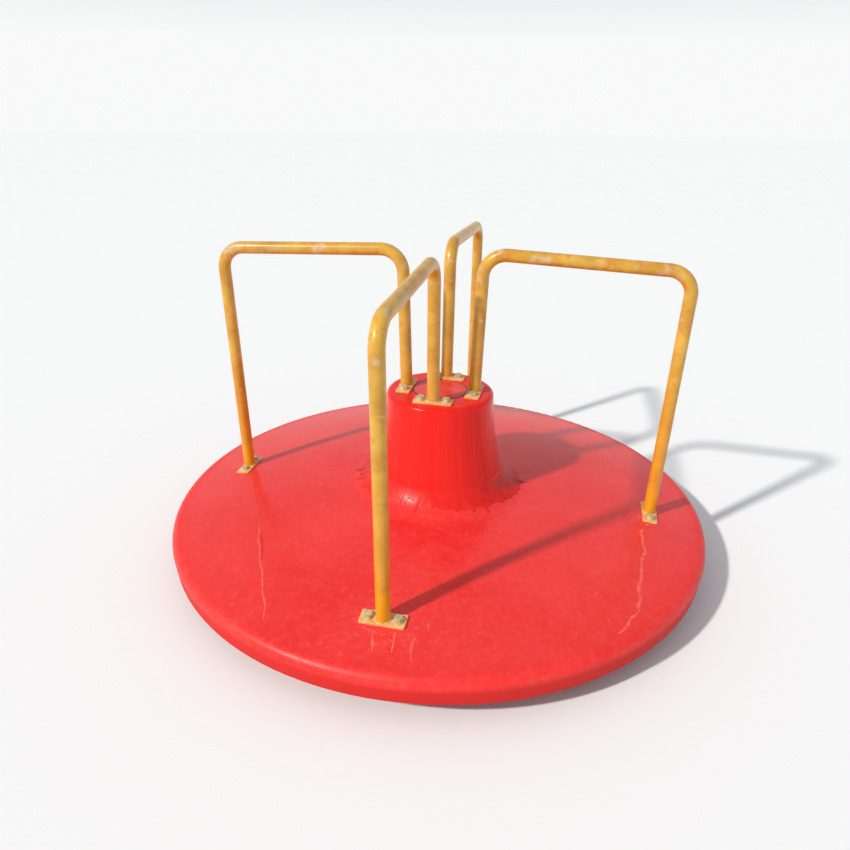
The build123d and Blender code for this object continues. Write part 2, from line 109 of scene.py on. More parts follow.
DECK_RED = opaque(0.80, 0.018, 0.015)
DECK_HAZE = opaque(0.86, 0.034, 0.030)
DECK_DEEP = opaque(0.74, 0.014, 0.010)
DECK_MOTTLE = opaque(0.90, 0.13, 0.11)
DECK_RUN = opaque(0.88, 0.11, 0.09)
DECK_SCUFF = opaque(0.88, 0.15, 0.13)
DECK_DUST = opaque(0.90, 0.32, 0.28)
DECK_BOTTOM_DARK = opaque(0.42, 0.020, 0.012)
# Painted shade for the skirt's upright face.
DECK_SKIRT_SHADE = opaque(0.60, 0.006, 0.004)
PEDESTAL_DEEP = opaque(0.76, 0.010, 0.006)
PEDESTAL_RED = opaque(0.84, 0.017, 0.011)
PEDESTAL_WORN = opaque(0.84, 0.10, 0.08)
PEDESTAL_COVE = opaque(0.84, 0.026, 0.022)
JOINT_DIRT = opaque(0.20, 0.010, 0.010)
LAP_DEEP = opaque(0.70, 0.010, 0.006)
LAP_RED = opaque(0.82, 0.016, 0.010)
# Dark mat strands, laid at the back as painted shade.
LAP_STRAND_AND_SHADE = opaque(0.30, 0.012, 0.010)
CAP_RED = opaque(0.78, 0.018, 0.014)
CAP_RUBBED = opaque(0.84, 0.060, 0.050)
RAIL_DULL = opaque(0.52, 0.250, 0.022)
RAIL_YELLOW = opaque(0.68, 0.390, 0.048)
# Painted reflection of the red deck on the lower pipes.
RAIL_DECK_REFLECTION = opaque(0.70, 0.270, 0.010)
RAIL_ORANGE = opaque(0.58, 0.180, 0.010)
RAIL_FRESH = opaque(0.80, 0.35, 0.008)
RAIL_WORN = opaque(0.66, 0.46, 0.28)
RAIL_CHIPPED = opaque(0.30, 0.20, 0.15)
PLATE_YELLOW = opaque(0.72, 0.36, 0.09)
PLATE_PALE = opaque(0.86, 0.52, 0.22)
PLATE_RUST = opaque(0.33, 0.13, 0.045)
ZINC_STRAW = opaque(0.56, 0.50, 0.30)
ZINC_PALE = opaque(0.72, 0.68, 0.50)
ZINC_SMEAR = opaque(0.76, 0.45, 0.12)
BASE_DARK = opaque(0.018, 0.018, 0.02)
BASE_LIGHT = opaque(0.055, 0.052, 0.05)
PRIMER_DARK = opaque(0.14, 0.030, 0.018)
PRIMER_LIGHT = opaque(0.24, 0.060, 0.035)
COARSE_RUST = opaque(0.22, 0.075, 0.025)
STEEL = opaque(0.52, 0.51, 0.49)
BEARING_STEEL = opaque(0.72, 0.72, 0.74)
BRASS = opaque(0.68, 0.45, 0.17)
RUBBER_DARK = opaque(0.012, 0.012, 0.012)
RUBBER_LIGHT = opaque(0.04, 0.038, 0.035)
RED_RUN = (opaque(0.80, 0.016, 0.009), opaque(0.84, 0.026, 0.016))
PALE_RUN = (opaque(0.88, 0.060, 0.035), opaque(0.92, 0.135, 0.080))
# Painted shade: a dark line laid beside a pale run, standing in for its shade.
RUN_SHADE = (opaque(0.62, 0.012, 0.008), opaque(0.72, 0.020, 0.013))
FLOOR_PALE = opaque(0.90, 0.895, 0.885)
HORIZON_PALE = opaque(0.945, 0.95, 0.95)
OVERHEAD_GREY = opaque(0.46, 0.49, 0.53)

# ---- Bands where a finish changes: the radius, height or y where it begins, then where it is full ----
DECK_COVE_BAND = (cove_radius * 1.06, cove_radius * 0.98)
DECK_RIM_BAND = (deck_radius - 0.045, deck_radius - 0.020)
DECK_RUNS_BAND = (0.45, 0.72)
SKIRT_BAND = (0.106, 0.092)
SKIRT_BOTTOM_BAND = (0.090, 0.060)
TRODDEN_BAND = (0.12, 0.036)
PEDESTAL_COVE_BAND = (0.190, 0.198)
LAP_BACK_BAND = (-0.17, -0.02)
JOINT_INNER_BAND = (0.0715, 0.0742)
JOINT_OUTER_BAND = (0.0790, 0.0765)
JOINT_HEIGHT_BAND = (pedestal_top - 0.020, pedestal_top - 0.012)
RAIL_REFLECTION_BAND = (0.60, 0.28)
RAIL_FRESH_BAND = (0.235, 0.215)
TOP_BAR_BAND = (rail_top - 0.20, rail_top - 0.02)


# ---- Materials ----
# Inputs and output of a Mix node for colours, by number because its other types share their names.
MIX_AMOUNT = 0
MIX_FIRST = 6
MIX_SECOND = 7
MIX_RESULT = 2


class Finish:
    """A procedural material, built from nodes in a piece's own coordinates, which are the frame's at rest."""

    def __init__(self, name, **constants):
        self.material = bpy.data.materials.new(name)
        self.material.use_nodes = True
        self.tree = self.material.node_tree
        self.shader = next(n for n in self.tree.nodes if n.type == "BSDF_PRINCIPLED")
        for socket, value in constants.items():
            self.shader.inputs[socket.replace("_", " ")].default_value = value
        self.place = self.add("ShaderNodeTexCoord").outputs["Object"]

    def add(self, kind, inputs=(), **settings):
        """Adds a node; inputs are pairs of socket and value, where a value may be another node's output."""
        node = self.tree.nodes.new(kind)
        for key, value in settings.items():
            setattr(node, key, value)
        for socket, value in inputs:
            if isinstance(value, bpy.types.NodeSocket):
                self.tree.links.new(value, node.inputs[socket])
            else:
                node.inputs[socket].default_value = value
        return node

    def noise(self, scale, detail=4.0, stretch=(1, 1, 1), distortion=0.0, place=None):
        """Cloudy value from 0 to 1; a stretch below 1 draws it out along that axis."""
        mapping = self.add("ShaderNodeMapping", [("Vector", place or self.place), ("Scale", stretch)])
        cloud = self.add(
            "ShaderNodeTexNoise",
            [
                ("Vector", mapping.outputs[0]),
                ("Scale", scale),
                ("Detail", detail),
                ("Distortion", distortion),
            ],
        )
        return cloud.outputs["Fac"]

    def between(self, value, low, high, top=1.0):
        """The value stretched so that low gives 0 and high gives top, and clamped there."""
        span = self.add(
            "ShaderNodeMapRange",
            [("Value", value), ("From Min", low), ("From Max", high), ("To Max", top)],
        )
        return span.outputs[0]

    def maths(self, operation, first, second=0.0):
        """One step of arithmetic; the second value is left unused by a square root or an absolute value."""
        return self.add("ShaderNodeMath", [(0, first), (1, second)], operation=operation).outputs[0]

    def both(self, first, second):
        """Two masks multiplied: 1 where both are 1."""
        return self.maths("MULTIPLY", first, second)

    def scaled(self, value, factor, start):
        """The value times a factor, added to a start."""
        return self.maths("ADD", start, self.maths("MULTIPLY", value, factor))

    def length(self, first, second):
        """Length of a vector in the plane."""
        squares = [self.maths("MULTIPLY", value, value) for value in (first, second)]
        return self.maths("SQRT", self.maths("ADD", *squares))

    def mix(self, amount, first, second):
        """Colour from first to second."""
        inputs = [(MIX_AMOUNT, amount), (MIX_FIRST, first), (MIX_SECOND, second)]
        return self.add("ShaderNodeMix", inputs, data_type="RGBA").outputs[MIX_RESULT]

    def over(self, base, colour, mask, strength):
        """The base with a colour laid over it where the mask is 1, at that strength."""
        return self.mix(self.maths("MULTIPLY", mask, strength), base, colour)

    def axis(self, name):
        """One coordinate of the place."""
        return self.add("ShaderNodeSeparateXYZ", [(0, self.place)]).outputs[name]

    def around(self):
        """Coordinates that run round the spin axis in x and y, and out along it in z, with no seam."""
        x, y = self.axis("X"), self.axis("Y")
        reach = self.length(x, y)
        turn = [self.maths("DIVIDE", value, reach) for value in (x, y)]
        out = self.add("ShaderNodeCombineXYZ", [(0, turn[0]), (1, turn[1]), (2, reach)])
        return out.outputs[0], reach

    def bump(self, height, distance, under=None):
        """Surface relief of that depth in metres."""
        inputs = [("Height", height), ("Distance", distance), ("Strength", 1.0)]
        if under is not None:
            inputs.append(("Normal", under))
        return self.add("ShaderNodeBump", inputs).outputs[0]

    def finish(self, colour, roughness, normal, metallic=None, coat=None):
        """Links the finished values to the shader."""
        for socket, value in (
            ("Base Color", colour),
            ("Roughness", roughness),
            ("Normal", normal),
            ("Metallic", metallic),
            ("Coat Weight", coat),
        ):
            if value is not None:
                self.tree.links.new(value, self.shader.inputs[socket])
        return self.material


def near_outer_feet(f):
    """1 at each outer foot, falling to 0 at a distance: the quarters of the deck are folded onto one."""
    across, along = (f.maths("ABSOLUTE", f.axis(name)) for name in "XY")
    out = f.maths("SUBTRACT", f.maths("MAXIMUM", across, along), outer_foot_radius)
    aside = f.maths("MINIMUM", across, along)
    return f.between(f.length(out, aside), *TRODDEN_BAND)


def in_cap_joint(f, reach):
    """1 in the ring of dirt that the inspection cap's joint has gathered, on the pedestal's top only."""
    ring = f.both(f.between(reach, *JOINT_INNER_BAND), f.between(reach, *JOINT_OUTER_BAND))
    return f.both(ring, f.between(f.axis("Z"), *JOINT_HEIGHT_BAND))


def deck_gelcoat():
    """Faded red gelcoat: hazy, scuffed at the feet, freckled with dust, satin in the cove and at the rim;
    darker towards the skirt's bottom edge, and darkened on the skirt as painted shade.
    """
    f = Finish("deck_gelcoat", Specular_IOR_Level=0.34, Coat_Roughness=0.12)
    polar, reach = f.around()
    height = f.axis("Z")
    haze = f.between(f.noise(3.2, 6.0, distortion=0.4), 0.34, 0.68)
    base = f.mix(haze, DECK_RED, DECK_HAZE)
    patches = f.between(f.noise(9.0, 5.0, distortion=0.8), 0.45, 0.62)
    base = f.over(base, DECK_DEEP, patches, 0.3)
    mottle = f.between(f.noise(62.0, 4.0, distortion=0.6), 0.46, 0.66)
    base = f.over(base, DECK_MOTTLE, mottle, 0.14)
    runs = f.between(f.noise(26.0, 3.0, stretch=(1, 1, 0.16), place=polar), 0.60, 0.74)
    runs_near_rim = f.both(runs, f.between(reach, *DECK_RUNS_BAND))
    base = f.over(base, DECK_RUN, runs_near_rim, 0.14)
    scuffs = f.between(f.noise(58.0, 8.0, stretch=(1, 0.35, 1), distortion=0.8), 0.60, 0.72)
    base = f.over(base, DECK_SCUFF, scuffs, 0.16)
    scratches = f.between(f.noise(170.0, 7.0, stretch=(0.35, 1, 1), distortion=0.6), 0.56, 0.68)
    base = f.over(base, DECK_DUST, f.both(scratches, near_outer_feet(f)), 0.32)
    dust = f.between(f.noise(330.0, 2.0), 0.64, 0.75)
    dusty = f.between(f.noise(6.0, 3.0), 0.44, 0.66)
    base = f.over(base, DECK_DUST, f.both(dust, dusty), 0.6)
    # Darker towards the skirt's bottom edge.
    base = f.mix(f.between(height, *SKIRT_BOTTOM_BAND, top=0.55), base, DECK_BOTTOM_DARK)
    # Painted shade: the skirt's upright face is laid darker.
    on_skirt = f.between(height, *SKIRT_BAND)
    base = f.over(base, DECK_SKIRT_SHADE, on_skirt, 0.8)
    at_rim = f.between(reach, *DECK_RIM_BAND)
    satin = f.maths("MAXIMUM", f.between(reach, *DECK_COVE_BAND), at_rim)
    roughness = f.scaled(haze, 0.10, 0.24)
    roughness = f.scaled(scuffs, 0.15, roughness)
    roughness = f.scaled(satin, 0.16, roughness)
    roughness = f.scaled(on_skirt, 0.25, roughness)
    coat = f.scaled(at_rim, -0.25, 0.25)
    waves = f.bump(f.noise(7.0, 2.0), 0.0016)
    peel = f.bump(f.noise(420.0, 2.0), 0.00008, waves)
    return f.finish(base, roughness, peel, coat=coat)


def pedestal_gelcoat():
    """Deep glossy red gelcoat with faint vertical brush runs, lighter and under more coat in the cove."""
    f = Finish("pedestal_gelcoat", Specular_IOR_Level=0.18, Coat_Roughness=0.3)
    polar, reach = f.around()
    upright = f.add("ShaderNodeCombineXYZ", [(2, f.axis("Z"))]).outputs[0]
    columns = f.add("ShaderNodeVectorMath", [(0, polar), (1, upright)], operation="ADD").outputs[0]
    runs = f.between(f.noise(20.0, 4.0, stretch=(1, 1, 0.12), place=columns), 0.38, 0.66)
    base = f.mix(runs, PEDESTAL_DEEP, PEDESTAL_RED)
    worn = f.between(f.noise(60.0, 5.0, distortion=1.0), 0.66, 0.76)
    base = f.over(base, PEDESTAL_WORN, worn, 0.3)
    base = f.mix(in_cap_joint(f, reach), base, JOINT_DIRT)
    in_cove = f.between(reach, *PEDESTAL_COVE_BAND)
    base = f.mix(in_cove, base, PEDESTAL_COVE)
    roughness = f.scaled(runs, 0.10, 0.20)
    roughness = f.scaled(in_cove, 0.20, roughness)
    coat = f.scaled(in_cove, 0.4, 0.08)
    waves = f.bump(f.noise(9.0, 2.0), 0.0012)
    brushed = f.bump(f.noise(34.0, 3.0, stretch=(1, 1, 0.1), place=columns), 0.00012, waves)
    return f.finish(base, roughness, brushed, coat=coat)


def lap_resin():
    """Brushed-on resin and mat: the deepest red, glossy at the front, dark strands running out behind, laid
    only at the back as painted shade.
    """
    f = Finish("lap_resin", Specular_IOR_Level=0.2, Coat_Roughness=0.3)
    polar, _ = f.around()
    tone = f.between(f.noise(40.0, 5.0), 0.4, 0.65)
    base = f.mix(tone, LAP_DEEP, LAP_RED)
    strands = f.between(f.noise(30.0, 4.0, stretch=(1, 1, 0.25), place=polar), 0.48, 0.62)
    # Dark strands only at the back: painted shade on the lap's shaded side.
    behind = f.between(f.axis("Y"), *LAP_BACK_BAND, top=0.7)
    base = f.over(base, LAP_STRAND_AND_SHADE, strands, behind)
    relief = f.bump(f.noise(110.0, 4.0, distortion=0.6), 0.0002)
    roughness = f.scaled(f.noise(80.0), 0.2, 0.34)
    return f.finish(base, roughness, relief, coat=f.scaled(behind, -0.3, 0.24))


def cap_gelcoat():
    """Red gelcoat of the inspection cap, hand-rubbed and dustier than the pedestal."""
    f = Finish("cap_gelcoat", Coat_Weight=0.25, Coat_Roughness=0.2)
    _, reach = f.around()
    rubbed = f.between(f.noise(28.0, 6.0, distortion=1.2), 0.42, 0.66)
    base = f.mix(rubbed, CAP_RED, CAP_RUBBED)
    base = f.mix(in_cap_joint(f, reach), base, JOINT_DIRT)
    return f.finish(base, f.scaled(rubbed, 0.2, 0.3), f.bump(f.noise(300.0), 0.0001))


def rail_enamel():
    """Yellow enamel on pipe: brown-tinged, worn pale on the top bars, fresh round the outer feet, and more
    orange lower down as a painted reflection of the red deck.
    """
    f = Finish("rail_enamel", Coat_Weight=0.2, Coat_Roughness=0.2, Specular_IOR_Level=0.4)
    height = f.axis("Z")
    tone = f.between(f.noise(14.0, 5.0), 0.36, 0.66)
    base = f.mix(tone, RAIL_DULL, RAIL_YELLOW)
    # Painted reflection: the red deck's orange cast on the lower pipes.
    base = f.over(base, RAIL_DECK_REFLECTION, f.between(height, *RAIL_REFLECTION_BAND), 0.7)
    orange = f.between(f.noise(38.0, 6.0, distortion=1.0), 0.52, 0.68)
    base = f.over(base, RAIL_ORANGE, orange, 0.6)
    base = f.over(base, RAIL_FRESH, f.between(height, *RAIL_FRESH_BAND), 0.7)
    wear = f.scaled(f.between(height, *TOP_BAR_BAND), 0.11, f.noise(30.0, 8.0))
    worn = f.between(wear, 0.64, 0.80)
    base = f.over(base, RAIL_WORN, worn, 0.8)
    chipped = f.between(wear, 0.815, 0.830)
    base = f.mix(chipped, base, RAIL_CHIPPED)
    edges = f.bump(f.maths("SUBTRACT", 1.0, worn), 0.00022)
    skin = f.bump(f.noise(240.0, 4.0), 0.00018, edges)
    return f.finish(base, f.scaled(worn, 0.22, 0.32), skin)


def plate_enamel():
    """The rails' enamel on the foot plates and the welds: paler, trodden, with specks of rust."""
    f = Finish("plate_enamel", Coat_Weight=0.25, Coat_Roughness=0.3)
    tone = f.between(f.noise(60.0, 5.0), 0.38, 0.64)
    base = f.mix(tone, PLATE_YELLOW, PLATE_PALE)
    rust = f.between(f.noise(110.0, 7.0, distortion=0.8), 0.60, 0.68)
    base = f.over(base, PLATE_RUST, rust, 0.75)
    return f.finish(base, f.scaled(tone, 0.2, 0.38), f.bump(f.noise(200.0, 5.0), 0.0003))


def aged_zinc():
    """Zinc plate gone dull, with a straw tint and paint smears."""
    f = Finish("aged_zinc")
    spangle = f.between(f.noise(60.0, 3.0), 0.35, 0.65)
    base = f.mix(spangle, ZINC_STRAW, ZINC_PALE)
    smear = f.between(f.noise(70.0, 5.0, distortion=1.0), 0.52, 0.62)
    base = f.over(base, ZINC_SMEAR, smear, 0.7)
    metal = f.scaled(smear, -0.5, 0.6)
    return f.finish(base, f.scaled(spangle, 0.12, 0.40), f.bump(f.noise(400.0), 0.0001), metal)


def coarse_paint(name, dark, light, rust_amount):
    """Brushed paint on rolled steel, with rust coming through."""
    f = Finish(name)
    base = f.mix(f.between(f.noise(18.0, 6.0), 0.35, 0.68), dark, light)
    rust = f.between(f.noise(55.0, 8.0, distortion=1.0), 0.56, 0.66)
    base = f.over(base, COARSE_RUST, rust, rust_amount)
    return f.finish(base, f.scaled(rust, 0.3, 0.45), f.bump(f.noise(260.0, 5.0), 0.0003))


BLOOM_SHADE = 0.72


def turned_metal(name, colour, roughness, depth):
    """Machined metal: fine rings round the spin axis under an oily bloom."""
    f = Finish(name, Metallic=1.0)
    _, reach = f.around()
    rings = f.add("ShaderNodeCombineXYZ", [(0, reach), (1, f.axis("Z"))]).outputs[0]
    lathe = f.noise(900.0, 2.0, place=rings)
    bloom = opaque(*[channel * BLOOM_SHADE for channel in colour[:3]])
    base = f.mix(f.between(f.noise(30.0, 5.0), 0.35, 0.7), colour, bloom)
    return f.finish(base, f.scaled(lathe, 0.12, roughness), f.bump(lathe, depth))


def moulded_rubber():
    """Black rubber of the seals, slightly dusty."""
    f = Finish("moulded_rubber")
    base = f.mix(f.between(f.noise(90.0, 5.0), 0.4, 0.7), RUBBER_DARK, RUBBER_LIGHT)
    return f.finish(base, f.scaled(f.noise(120.0), 0.2, 0.55), f.bump(f.noise(500.0), 0.0001))


def run_stain(name, dark, light):
    """Dried run of paint or rusty water on the deck, or a dark line of painted shade beside one."""
    f = Finish(name, Coat_Weight=0.1, Coat_Roughness=0.25)
    base = f.mix(f.between(f.noise(85.0, 5.0), 0.4, 0.62), dark, light)
    return f.finish(base, f.scaled(f.noise(60.0), 0.2, 0.3), f.bump(f.noise(300.0), 0.0001))


lap_red = lap_resin()
plate_yellow = plate_enamel()
slot_material = {
    "red_gelcoat": deck_gelcoat(),
    "red_laminate": lap_red,
    "yellow_enamel": rail_enamel(),
    "zinc_fasteners": aged_zinc(),
    "base_paint": coarse_paint("base_black", BASE_DARK, BASE_LIGHT, rust_amount=0.55),
    "frame_primer": coarse_paint("red_oxide_primer", PRIMER_DARK, PRIMER_LIGHT, rust_amount=0.8),
    "machined_steel": turned_metal("turned_steel", STEEL, roughness=0.28, depth=0.00006),
    "bearing_steel": turned_metal("ground_bearing_steel", BEARING_STEEL, roughness=0.10, depth=0.00001),
    "seal_rubber": moulded_rubber(),
    "brass": turned_metal("turned_brass", BRASS, roughness=0.25, depth=0.00004),
}


def paint(names, material):
    """Gives CAD nodes their finished material."""
    for name in names:
        nodes[name].data.materials.clear()
        nodes[name].data.materials.append(material)


for subpart in frame["record"]["subparts"]:
    paint([subpart["node"]], slot_material[subpart["material_slot"]])
paint(["pedestal_shell"], pedestal_gelcoat())
paint(["inspection_cap"], cap_gelcoat())
paint([node for node in nodes if node.endswith("_foot")], plate_yellow)


# ---- Mesh helpers ----
def new_piece(name, vertices, faces, material, body="platform"):
    """A smooth mesh piece that rides on a body."""
    mesh = bpy.data.meshes.new(name)
    mesh.from_pydata(vertices, [], faces)
    mesh.update()
    mesh.polygons.foreach_set("use_smooth", [True] * len(mesh.polygons))
    mesh.materials.append(material)
    piece = bpy.data.objects.new(name, mesh)
    bpy.context.scene.collection.objects.link(piece)
    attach(piece, body)
    return piece


def ring_faces(rows, columns, closed_rows, closed_columns):
    """Quads over a grid of rows by columns, closed on itself in either way."""
    faces = []
    for row in range(rows if closed_rows else rows - 1):
        for column in range(columns if closed_columns else columns - 1):
            after_row, after_column = (row + 1) % rows, (column + 1) % columns
            faces.append((
                row * columns + column,
                row * columns + after_column,
                after_row * columns + after_column,
                after_row * columns + column,
            ))
    return faces


# ---- Ragged lap of resin in the cove round the pedestal's foot, with drips down onto the deck ----
LAP_STEPS = 1800
LAP_INNER = lap_radius - 0.059
LAP_FRONT_EDGE = lap_radius - 0.037
LAP_WIDENING = 0.042
LAP_NARROWEST = 0.010
LAP_DIP = 0.007
LAP_DIP_ANGLE = math.radians(-104)
LAP_DIP_SPREAD = 0.35
LAP_THICK = 0.0009
# Its closed section, as (share of the way out, share of the thickness): out over the top, back underneath.
LAP_PROFILE = (
    (0.0, -0.5), (0.04, -0.1), (0.10, 0.1), (0.18, 0.4),
    (0.30, 0.8), (0.45, 1.0), (0.62, 1.0), (0.76, 1.0),
    (0.87, 0.95), (0.95, 0.7), (1.0, -0.4), (0.75, -0.8),
    (0.50, -0.8), (0.30, -0.8), (0.15, -0.8), (0.06, -0.8),
)
TEAR_DEPTH = 0.009
TEAR_SCALE = 5
TEAR_SEED = 9.0
FINE_TEAR_SHARE = 0.35
FINE_TEAR_SCALE = 4.1
DRIPS = 26
DRIP_SHIFT = 0.4
DRIP_HALF_WIDTHS = (0.030, 0.058)
DRIP_LENGTHS = (0.004, 0.008, 0.013, 0.019, 0.026)
DRIP_SWELL = 0.7
DRIP_FULL_SWELL_LENGTH = 0.02


def turn_between(angle, other):
    """Smallest turn between two angles."""
    return abs((angle - other + math.pi) % math.tau - math.pi)


def lap_drips():
    """Random drips as (angle, half width in radians, length)."""
    drips = []
    for index in range(DRIPS):
        angle = (index + random.uniform(-DRIP_SHIFT, DRIP_SHIFT)) / DRIPS * math.tau
        drips.append((angle, random.uniform(*DRIP_HALF_WIDTHS), random.choice(DRIP_LENGTHS)))
    return drips


def lap_edge(angle):
    """Distance of the mat's torn edge from the axis: near at the front, farther at the sides and back."""
    edge = LAP_FRONT_EDGE + LAP_WIDENING * min(1.0, 1.0 + math.sin(angle))
    edge -= LAP_DIP * max(0.0, 1.0 - (turn_between(angle, LAP_DIP_ANGLE) / LAP_DIP_SPREAD) ** 2)
    place = Vector((math.cos(angle) * TEAR_SCALE, math.sin(angle) * TEAR_SCALE, TEAR_SEED))
    torn = noise.noise(place) + FINE_TEAR_SHARE * noise.noise(place * FINE_TEAR_SCALE)
    return max(edge + TEAR_DEPTH * torn, LAP_INNER + LAP_NARROWEST)


def lap_drop(angle, drips):
    """How far the longest drip at an angle runs past the edge."""
    drop = 0.0
    for centre, half, length in drips:
        drop = max(drop, length * (1.0 - (turn_between(angle, centre) / half) ** 2))
    return drop


def build_lap():
    """The lap, laid on the cove and the deck."""
    drips = lap_drips()
    angles = [step / LAP_STEPS * math.tau for step in range(LAP_STEPS)]
    outline = [(angle, lap_edge(angle), lap_drop(angle, drips)) for angle in angles]
    vertices = []
    for share, height in LAP_PROFILE:
        for angle, edge, drop in outline:
            reach = LAP_INNER + (edge - LAP_INNER) * share + drop * share**3
            bulge = 1.0 + DRIP_SWELL * min(drop / DRIP_FULL_SWELL_LENGTH, 1.0) * share
            lift = LAP_THICK * height * (bulge if height > 0 else 1.0)
            vertices.append(on_surface(reach * math.cos(angle), reach * math.sin(angle), lift))
    faces = ring_faces(len(LAP_PROFILE), LAP_STEPS, True, True)
    lap = new_piece("ragged_lap", vertices, faces, lap_red)
    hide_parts("bond_lap")


build_lap()

# ---- Dried runs on the deck below the outer feet, and a dark line of painted shade beside one ----
RUN_STEPS = 14
RUN_HEIGHT = 0.0003
# Across a run, as (share of the half width, share of the height).
RUN_SECTION = ((-1.0, -0.5), (-0.7, 0.55), (0.0, 1.0), (0.7, 0.55), (1.0, -0.5))
WANDER_SCALE = 22
WANDER_PER_WIDTH = 0.9
SWELL_SCALE = 70
SWELL_SEED_SHIFT = 5
SWELL_MIDDLE = 0.75
SWELL_RANGE = 0.5
HEAD_TAPER_STEPS = 6
TAIL_TAPER_STEPS = 10


def curve_value(t, before, here, after, beyond):
    """One coordinate of a smooth curve that goes from here to after while t goes from 0 to 1."""
    slope = after - before
    bend = 2 * before - 5 * here + 4 * after - beyond
    twist = 3 * here - before - 3 * after + beyond
    return 0.5 * (2 * here + slope * t + bend * t**2 + twist * t**3)


def smooth_path(points):
    """Points along a smooth curve through the given ones."""
    path = []
    for index in range(len(points) - 1):
        before = points[max(index - 1, 0)]
        here, after = points[index], points[index + 1]
        beyond = points[min(index + 2, len(points) - 1)]
        for step in range(RUN_STEPS):
            corners = zip(before, here, after, beyond)
            path.append(tuple(curve_value(step / RUN_STEPS, *corner) for corner in corners))
    path.append(points[-1])
    return path


def build_run(name, points, width, material, seed):
    """A flat, wandering bead on the deck along the points, tapered at both ends."""
    path = smooth_path(points)
    count = len(path)
    vertices = []
    for index, (x, y) in enumerate(path):
        ahead, behind = path[min(index + 1, count - 1)], path[max(index - 1, 0)]
        along = Vector((ahead[0] - behind[0], ahead[1] - behind[1], 0)).normalized()
        across = Vector((-along.y, along.x, 0))
        wander_place = Vector((x * WANDER_SCALE, y * WANDER_SCALE, seed))
        wander = noise.noise(wander_place) * width * WANDER_PER_WIDTH
        swell_place = Vector((x * SWELL_SCALE, y * SWELL_SCALE, seed + SWELL_SEED_SHIFT))
        swell = SWELL_MIDDLE + SWELL_RANGE * noise.noise(swell_place)
        ends = min(1.0, (index + 0.5) / HEAD_TAPER_STEPS, (count - index - 0.5) / TAIL_TAPER_STEPS)
        for side, lift in RUN_SECTION:
            spot = Vector((x, y, 0)) + across * (wander + side * width / 2 * swell * ends)
            vertices.append(on_surface(spot.x, spot.y, RUN_HEIGHT * (lift * ends if lift > 0 else lift)))
    corners = len(RUN_SECTION)
    faces = ring_faces(count, corners, False, True)
    faces.append(tuple(range(corners - 1, -1, -1)))
    faces.append(tuple(range((count - 1) * corners, count * corners)))
    new_piece(name, vertices, faces, material)


red_run = run_stain("red_run", *RED_RUN)
pale_run = run_stain("pale_run", *PALE_RUN)
run_shade = run_stain("run_shade", *RUN_SHADE)

# Each run as (name, points in x and y, width, material).
RUNS = (
    (
        "left_foot_red_run",
        ((-0.570, -0.070), (-0.520, -0.160), (-0.458, -0.265), (-0.425, -0.330)),
        0.012,
        red_run,
    ),
    # Painted shade along the right side of the pale run below.
    (
        "left_foot_run_shade",
        ((-0.418, -0.345), (-0.385, -0.405), (-0.352, -0.470)),
        0.009,
        run_shade,
    ),
    (
        "left_foot_pale_run",
        (
            (-0.425, -0.325), (-0.396, -0.392), (-0.362, -0.462),
            (-0.325, -0.530), (-0.297, -0.586), (-0.258, -0.668),
        ),
        0.007,
        pale_run,
    ),
    (
        "right_foot_run",
        (
            (0.590, -0.076), (0.583, -0.150), (0.585, -0.205), (0.573, -0.268),
            (0.566, -0.335), (0.566, -0.392), (0.558, -0.432),
        ),
        0.0125,
        pale_run,
    ),
    (
        "right_foot_branch",
        ((0.560, -0.422), (0.540, -0.462), (0.524, -0.494), (0.513, -0.518)),
        0.008,
        pale_run,
    ),
    ("front_foot_run_1", ((-0.012, -0.640), (-0.006, -0.665), (0.000, -0.700)), 0.010, pale_run),
    ("front_foot_run_2", ((0.034, -0.634), (0.036, -0.668), (0.040, -0.694)), 0.008, pale_run),
    ("front_foot_run_3", ((0.078, -0.640), (0.080, -0.668), (0.084, -0.705)), 0.009, pale_run),
    ("front_foot_run_4", ((0.100, -0.590), (0.103, -0.625)), 0.007, pale_run),
)
for seed, (name, points, width, material) in enumerate(RUNS):
    build_run(name, points, width, material, seed)

# ---- Weld beads where each pipe meets its foot plate ----
HALF_PLATE = 0.0026
WELD_STEPS = 160
WELD_CORNERS = 8
WELD_GAP = 0.0008
WELD_THICK = 0.0030
WELD_FLATNESS = 0.9
RIPPLES = 34
RIPPLE_DEPTH = 0.0004
LUMP_DEPTH = 0.0006
LUMP_SCALE = 3
SIDE_SEED = 2.3


def build_weld(name, centre, normal, seed):
    """A rippled fillet of weld round the pipe, lying on its plate."""
    x_axis = normal.orthogonal().normalized()
    y_axis = normal.cross(x_axis)
    vertices = []
    for step in range(WELD_STEPS):
        angle = step / WELD_STEPS * math.tau
        out = x_axis * math.cos(angle) + y_axis * math.sin(angle)
        ripple = RIPPLE_DEPTH * math.sin(angle * RIPPLES + seed)
        lump = LUMP_DEPTH * noise.noise(out * LUMP_SCALE + Vector((seed, 0, 0)))
        thick = WELD_THICK + ripple + lump
        for corner in range(WELD_CORNERS):
            turn = corner / WELD_CORNERS * math.tau
            reach = pipe_radius + WELD_GAP + thick * math.cos(turn)
            rise = thick * WELD_FLATNESS * math.sin(turn)
            vertices.append(centre + out * reach + normal * rise)
    faces = ring_faces(WELD_STEPS, WELD_CORNERS, True, True)
    new_piece(name, vertices, faces, plate_yellow)


for number, side in enumerate(SIDES):
    for place in ("outer", "inner"):
        low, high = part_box(f"{side}_{place}_foot")
        middle = (low + high) / 2
        _, lean, _, _ = platform_surface.ray_cast(middle, DOWN)
        build_weld(f"{side}_{place}_weld", middle + lean * HALF_PLATE, lean, number * SIDE_SEED + len(place))

